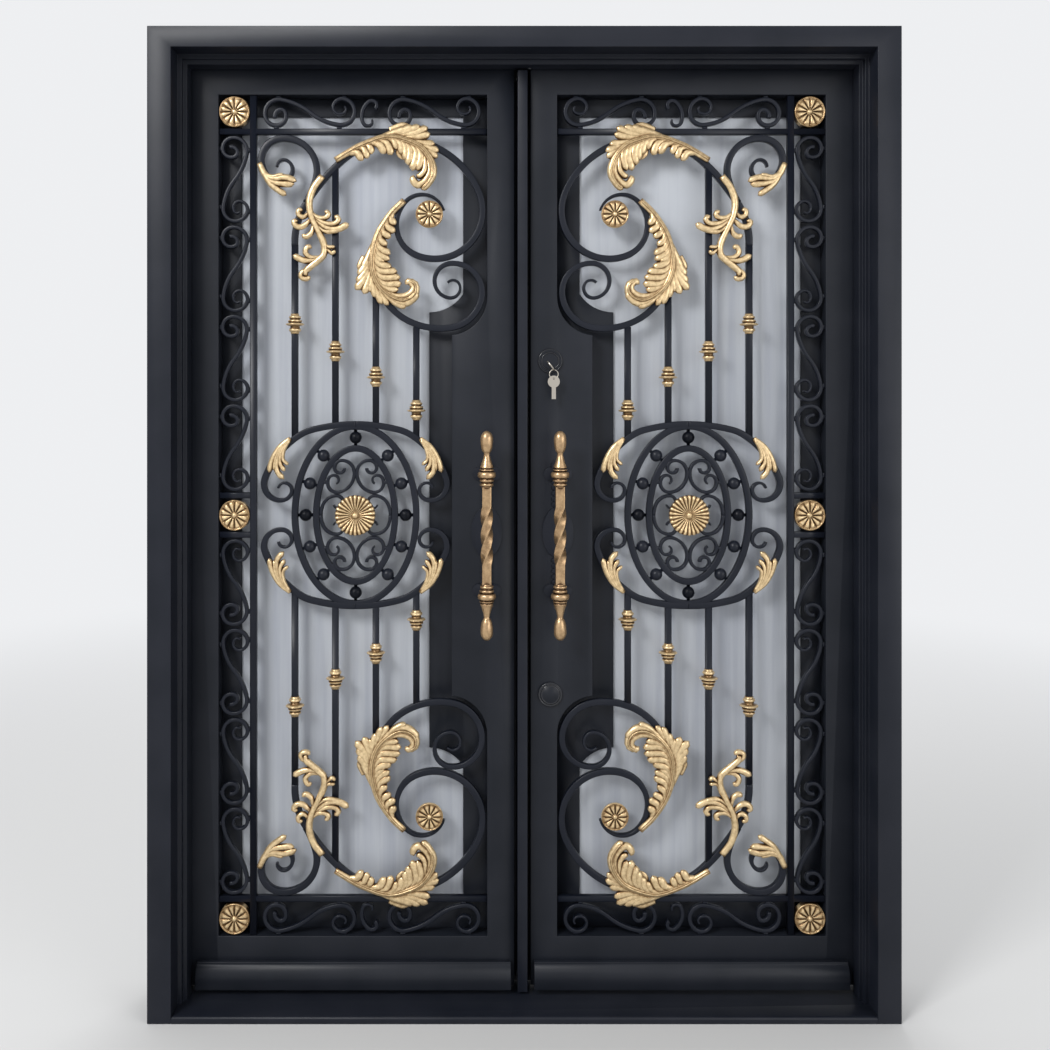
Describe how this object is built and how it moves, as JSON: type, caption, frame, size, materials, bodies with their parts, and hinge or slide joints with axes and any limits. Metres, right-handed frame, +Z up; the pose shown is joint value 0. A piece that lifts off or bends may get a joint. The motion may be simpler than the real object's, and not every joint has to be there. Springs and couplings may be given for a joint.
{
  "type": "double wrought iron entrance door",
  "caption": "Two-leaf iron entrance door in a stepped steel frame, with scrollwork grilles, gilded leaf ornament, glass sashes and twisted pull handles.",
  "frame": {"origin": "centre of the sill's bottom face, on the floor, midway through the frame's depth", "axes": "+X to the right seen from outside, +Y into the house, +Z up"},
  "size_m": [1.575, 0.184, 2.083],
  "materials": {
    "frame_paint": "satin charcoal powder coat with a fine texture",
    "leaf_paint": "satin charcoal powder coat with a fine texture",
    "ironwork": "satin blue-black paint over forged iron",
    "antique_gold": "antique gold paint, rubbed brown in the hollows",
    "brushed_gold": "brushed, dull",
    "lock_metal": "brushed",
    "gasket": "matt black",
    "rain_glass": "patterned with fine upright streaks, nearly opaque"
  },
  "bodies": {
    "frame": {"frame_head": "frame_paint", "frame_jamb_left": "frame_paint", "frame_jamb_right": "frame_paint", "sill": "frame_paint", "jamb_hinges_left": "frame_paint", "jamb_hinges_right": "frame_paint"},
    "left_leaf": {"hinge_stile_left": "leaf_paint", "lock_stile_left": "leaf_paint", "top_rail_left": "leaf_paint", "bottom_rail_left": "leaf_paint", "drip_moulding_left": "leaf_paint", "glass_sash_left": "leaf_paint", "glass_pane_left": "rain_glass", "glazing_bead_left": "gasket", "border_bars_left": "ironwork", "border_scrolls_left": "ironwork", "scroll_grille_left": "ironwork", "medallion_left": "ironwork", "medallion_balls_left": "ironwork", "border_rosettes_left": "antique_gold", "panel_rosettes_left": "antique_gold", "bar_collars_left": "antique_gold", "acanthus_leaves_left": "antique_gold", "pull_handle_left": "brushed_gold", "handle_posts_left": "brushed_gold", "handle_plate_left": "ironwork", "leaf_hinges_left": "frame_paint", "astragal": "frame_paint"},
    "right_leaf": {"hinge_stile_right": "leaf_paint", "lock_stile_right": "leaf_paint", "top_rail_right": "leaf_paint", "bottom_rail_right": "leaf_paint", "drip_moulding_right": "leaf_paint", "glass_sash_right": "leaf_paint", "glass_pane_right": "rain_glass", "glazing_bead_right": "gasket", "border_bars_right": "ironwork", "border_scrolls_right": "ironwork", "scroll_grille_right": "ironwork", "medallion_right": "ironwork", "medallion_balls_right": "ironwork", "border_rosettes_right": "antique_gold", "panel_rosettes_right": "antique_gold", "bar_collars_right": "antique_gold", "acanthus_leaves_right": "antique_gold", "pull_handle_right": "brushed_gold", "handle_posts_right": "brushed_gold", "handle_plate_right": "ironwork", "leaf_hinges_right": "frame_paint", "lock_cylinder": "leaf_paint", "lock_keys": "lock_metal", "lower_lock_rose": "leaf_paint"}
  },
  "joints": [
    {"name": "left_leaf_swing", "type": "hinge", "parent": "frame", "child": "left_leaf", "pos_m": [-0.7475, 0.0925, 0], "axis": [0, 0, 1], "range_deg": [0, 95]},
    {"name": "right_leaf_swing", "type": "hinge", "parent": "frame", "child": "right_leaf", "pos_m": [0.7475, 0.0925, 0], "axis": [0, 0, -1], "range_deg": [0, 95]}
  ]
}
